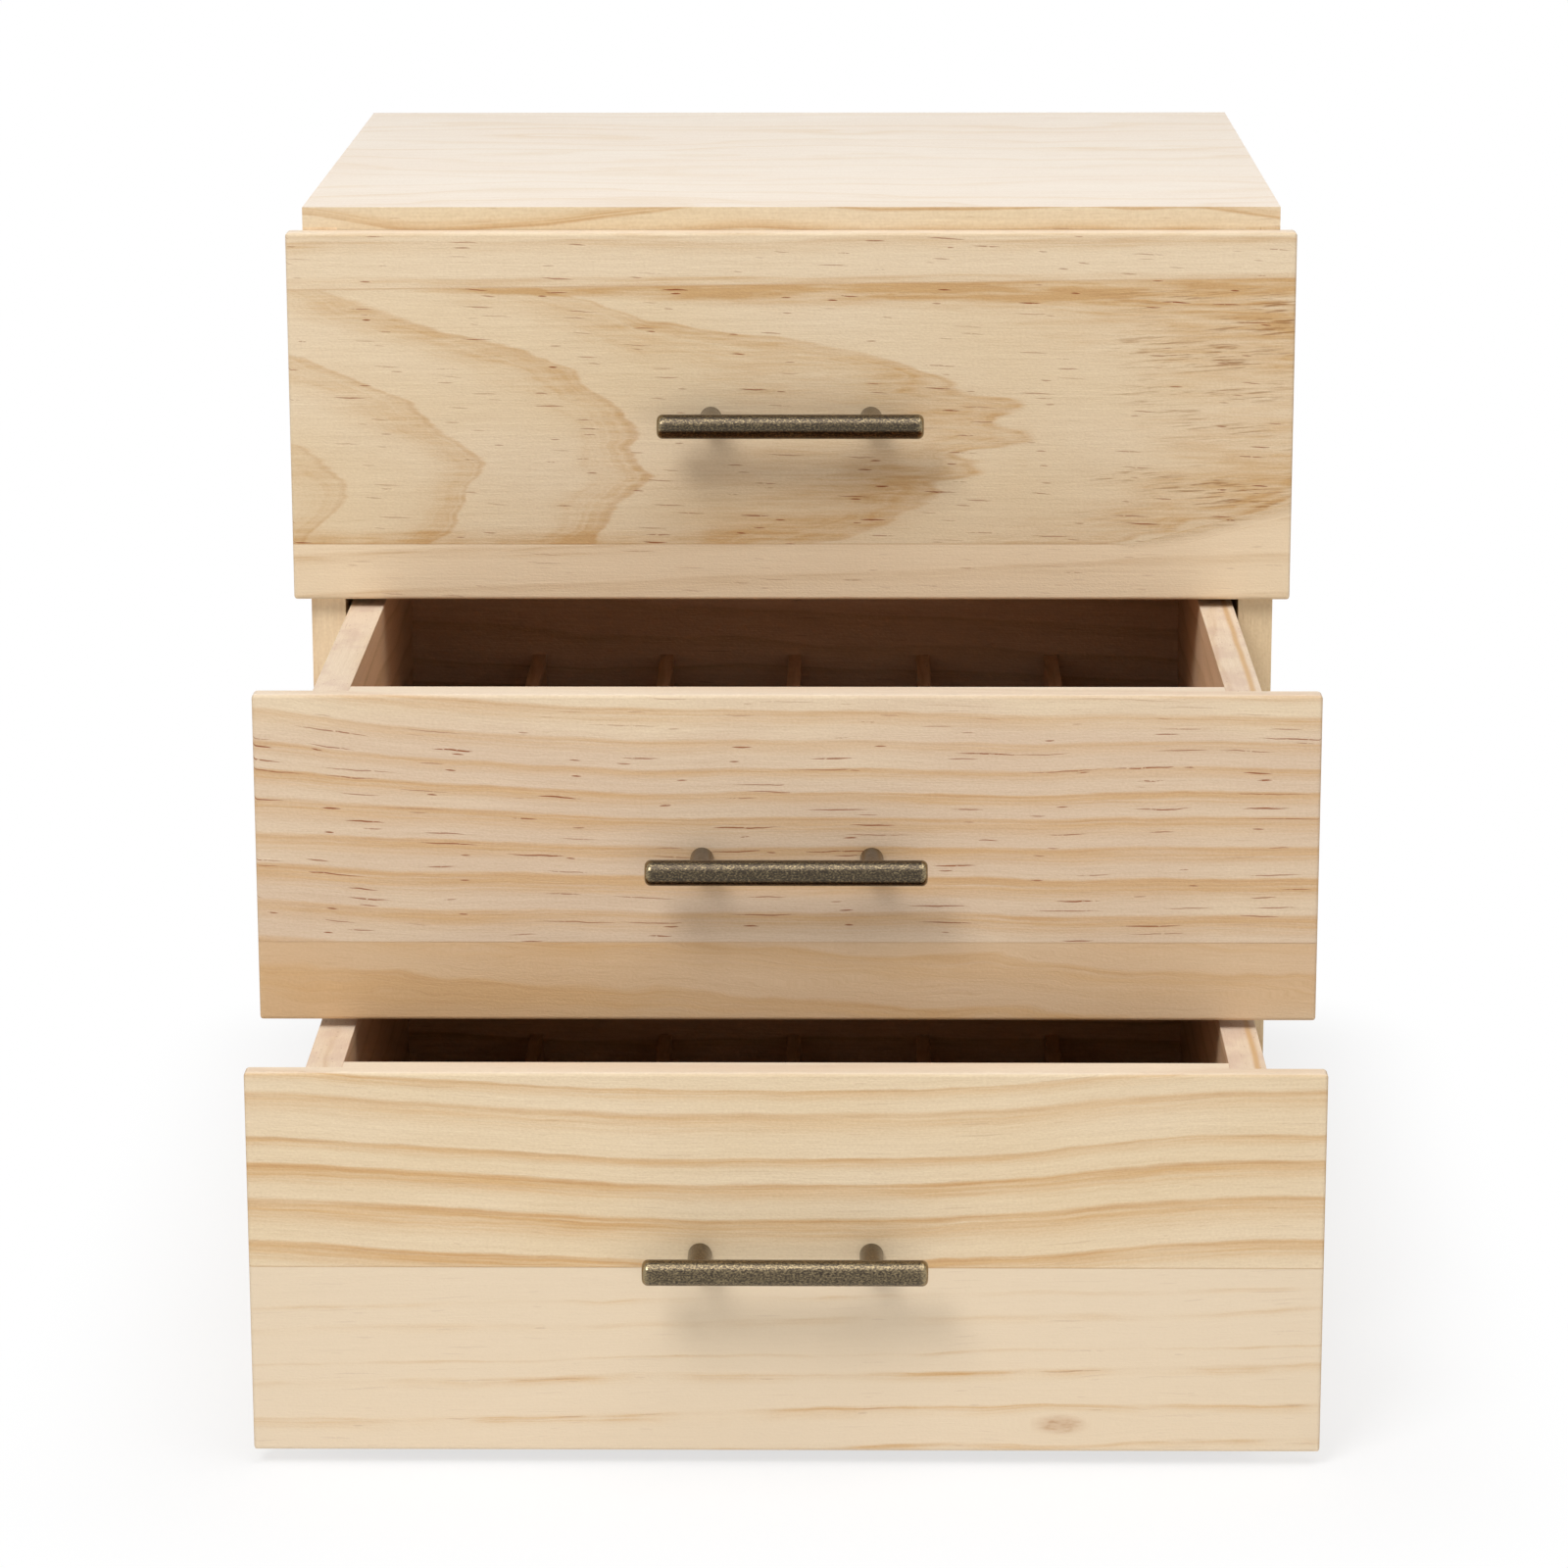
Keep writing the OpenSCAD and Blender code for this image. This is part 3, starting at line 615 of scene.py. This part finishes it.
def antique_bronze():
    """Dark patina with fine worn specks, worn to brass at the bars' ends, and brassier on the lowest bar.
    """
    tree = Tree("antique_bronze")
    x, y, z = tree.x, tree.y, tree.z
    speck_l, speck_w, speck_depth = 0.8, 0.5, 0.012
    cloud_l, cloud_w = 4, 2.5
    grit = tree.noise(x / speck_l, y / speck_w, z / speck_w, detail=2, roughness=0.6)
    clouds = tree.noise(x / cloud_l, y / cloud_w, z / cloud_w, detail=3, roughness=0.6)
    low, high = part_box("upper_pull_bar")
    from_middle = tree.math("ABSOLUTE", x - (low.x + high.x) / 2 / MM)
    bar_half = (high.x - low.x) / 2 / MM
    ends = tree.ramp(from_middle, bar_half - 3.0, bar_half - 0.5) * 0.5
    # The lowest bar is made brighter and brassier than the others.
    above_lower_bar, below_middle_bar = 120, 160
    brass_share = ends + tree.ramp(z, above_lower_bar, below_middle_bar, 0.15, 0)
    worn = tree.ramp(grit * 0.9 + clouds * 0.1 + brass_share, -0.2, 0.8) * 0.8
    tree.set(
        Base_Color=tree.tint(worn, PATINA, WORN_BRASS),
        Metallic=1.0,
        Roughness=tree.ramp(clouds, -0.5, 0.5, 0.2, 0.27),
    )
    tree.bump(grit, speck_depth)
    return tree.material


def plated_steel():
    """Bright plated screws."""
    tree = Tree("plated_steel")
    mark = 0.8
    turned = tree.noise(tree.x / mark, tree.y / mark, tree.z / mark, detail=3)
    tree.set(
        Base_Color=tree.tint(tree.ramp(turned, -0.6, 0.6), STEEL_DARK, STEEL_LIGHT),
        Metallic=1.0,
        Roughness=tree.ramp(turned, -1, 1, 0.25, 0.42),
    )
    return tree.material


# Which piece has which material
panel_wood = board_wood("panel_pine", "xyz", strip_w=96.0, seed=0.6)
# Painted light on the left side, painted shade on the right side.
lit_left_wood = side_wood("left_side_pine", 0.3, LIT_LEFT_TONES)
shaded_right_wood = side_wood("right_side_pine", 0.7, SHADED_RIGHT_TONES)
wall_pine = wall_wood()
# Painted shade: the boards inside the drawers take the redder, darker inside tones.
divider_wood = shaded_inner_wood("divider_pine", "yzx", 0.2)
cross_wood = shaded_inner_wood("cross_pine", "xzy", 0.8)
back_ply = plywood("back_ply", "zxy")
floor_ply = plywood("floor_ply", "xyz")
bronze = antique_bronze()
steel = plated_steel()

FINISHES = {
    "top_panel": top_panel_wood(), "bottom_panel": panel_wood,
    "left_side": lit_left_wood, "right_side": shaded_right_wood,
    "lower_shelf": panel_wood, "upper_shelf": panel_wood,
    "back_panel": back_ply, "back_screws": steel,
    "upper_front": upper_front_wood(),
    "middle_front": middle_front_wood(),
    "lower_front": lower_front_wood(),
}
for drawer in DRAWERS:
    FINISHES.update({
        f"{drawer}_left_wall": wall_pine, f"{drawer}_right_wall": wall_pine,
        f"{drawer}_back_wall": cross_wood, f"{drawer}_floor": floor_ply,
        f"{drawer}_pull_bar": bronze, f"{drawer}_pull_posts": bronze,
        f"{drawer}_pull_screws": steel,
    })
    FINISHES.update({name: divider_wood for name in NODES if name.startswith(f"{drawer}_long_divider")})
    FINISHES.update({name: cross_wood for name in NODES if name.startswith(f"{drawer}_cross_divider")})

# Boards whose edges are eased: words in their names, how far, and at which corners
EASED = ("top_panel", "bottom_panel", "side", "shelf", "wall", "divider")
EASE = 0.4 * MM
EASE_STEPS = 2
SHARP_CORNER = math.radians(40)
WELD_REACH = 0.01 * MM

for name, node in NODES.items():
    node.data.materials.clear()
    node.data.materials.append(FINISHES[name])
    if any(word in name for word in EASED):
        weld = node.modifiers.new("weld", "WELD")
        weld.merge_threshold = WELD_REACH
        bevel = node.modifiers.new("eased_edges", "BEVEL")
        bevel.width = EASE
        bevel.segments = EASE_STEPS
        bevel.limit_method = "ANGLE"
        bevel.angle_limit = SHARP_CORNER
        bevel.harden_normals = True

# Floor: how far its shade reaches in millimetres, and its share of plain white beside the box
FLOOR_HALF = 20.0
FLOOR_DROP = 0.2 * MM
SHADE_REACH = 100.0
WHITE_SHARE = 0.7
floor_mesh = bpy.data.meshes.new("floor")
corners = [(-FLOOR_HALF, -FLOOR_HALF, 0), (FLOOR_HALF, -FLOOR_HALF, 0)]
corners += [(FLOOR_HALF, FLOOR_HALF, 0), (-FLOOR_HALF, FLOOR_HALF, 0)]
floor_mesh.from_pydata(corners, [], [(0, 1, 2, 3)])
floor = bpy.data.objects.new("floor", floor_mesh)
floor.location.z = -FLOOR_DROP
bpy.context.scene.collection.objects.link(floor)


def seen_rays(nodes, links):
    """1 for rays that show a surface itself, to the eye, in metal or through glass, and 0 for light."""
    path = nodes.new("ShaderNodeLightPath")
    seen = path.outputs["Is Camera Ray"]
    for name in ("Is Glossy Ray", "Is Transmission Ray"):
        either = nodes.new("ShaderNodeMath")
        either.operation = "MAXIMUM"
        links.new(seen, either.inputs[0])
        links.new(path.outputs[name], either.inputs[1])
        seen = either.outputs[0]
    return seen


def pale_floor():
    """A pale floor that keeps the shadow near the box and is plain white further out."""
    tree = Tree("pale_floor")
    tree.set(Base_Color=FLOOR_WHITE, Roughness=0.9)
    outside = []
    for place, low, high in zip((tree.x, tree.y), cad_low, cad_high):
        middle, half = (low + high) / 2 / MM, (high - low) / 2 / MM
        outside.append(tree.math("MAXIMUM", tree.math("ABSOLUTE", place - middle) - half, 0.0))
    away = tree.math("SQRT", outside[0] ** 2 + outside[1] ** 2)
    seen = Field(tree, seen_rays(tree.nodes, tree.links))
    share = tree.ramp(away, 0, SHADE_REACH, WHITE_SHARE, 1) * seen
    white = tree.nodes.new("ShaderNodeEmission")
    both = tree.nodes.new("ShaderNodeMixShader")
    tree.join(both.inputs[0], share)
    tree.join(both.inputs[1], tree.shader.outputs[0])
    tree.join(both.inputs[2], white.outputs[0])
    tree.join(tree.nodes["Material Output"].inputs["Surface"], both.outputs[0])
    return tree.material


floor_mesh.materials.append(pale_floor())

# Light: places and sizes in metres, power in watts
LIT_PLACE = (0.0, -0.2, 0.2)
AMBIENT = 0.29


def soft_light(name, place, width, height, power):
    """A large rectangular softbox turned to the middle of the drawers."""
    data = bpy.data.lights.new(name, "AREA")
    data.shape = "RECTANGLE"
    data.size = width
    data.size_y = height
    data.energy = power
    lamp = bpy.data.objects.new(name, data)
    lamp.location = place
    lamp.rotation_euler = (Vector(LIT_PLACE) - Vector(place)).to_track_quat("-Z", "Y").to_euler()
    bpy.context.scene.collection.objects.link(lamp)
    return lamp


def white_surroundings():
    """A world that is white to the eye and in metal, and gives a weaker even light."""
    world = bpy.data.worlds.new("studio")
    world.use_nodes = True
    nodes, links = world.node_tree.nodes, world.node_tree.links
    strength = nodes.new("ShaderNodeMapRange")
    strength.inputs["To Min"].default_value = AMBIENT
    links.new(seen_rays(nodes, links), strength.inputs["Value"])
    background = nodes["Background"]
    background.inputs["Color"].default_value = (1, 1, 1, 1)
    links.new(strength.outputs[0], background.inputs["Strength"])
    return world


soft_light("key", place=(-0.87, -1.8, 2.15), width=1.0, height=0.9, power=35)
soft_light("overhead", place=(0.4, -0.8, 2.4), width=1.8, height=1.4, power=22.5)
fill = soft_light("fill", place=(0.6, -2.5, 0.25), width=1.8, height=0.5, power=7)
fill.visible_glossy = False
bpy.context.scene.world = white_surroundings()

# Camera: turned down, left and round its own axis by these degrees
CAMERA_PLACE = (21.4 * MM, -1939 * MM, 633 * MM)
CAMERA_DOWN, CAMERA_LEFT, CAMERA_ROLL = 14.03, 0.77, -0.13
PHOTO_W = 1600
FOCAL_PIXELS = 5301
SENSOR_W = 36
camera_data = bpy.data.cameras.new("camera")
camera_data.sensor_width = SENSOR_W
camera_data.lens = FOCAL_PIXELS / PHOTO_W * SENSOR_W
camera = bpy.data.objects.new("camera", camera_data)
turn = Matrix.Rotation(math.radians(CAMERA_LEFT), 4, "Z")
turn = turn @ Matrix.Rotation(math.radians(90 - CAMERA_DOWN), 4, "X")
turn = turn @ Matrix.Rotation(math.radians(CAMERA_ROLL), 4, "Z")
camera.matrix_world = Matrix.Translation(CAMERA_PLACE) @ turn
bpy.context.scene.collection.objects.link(camera)
bpy.context.scene.camera = camera
bpy.context.scene.view_settings.view_transform = "Standard"
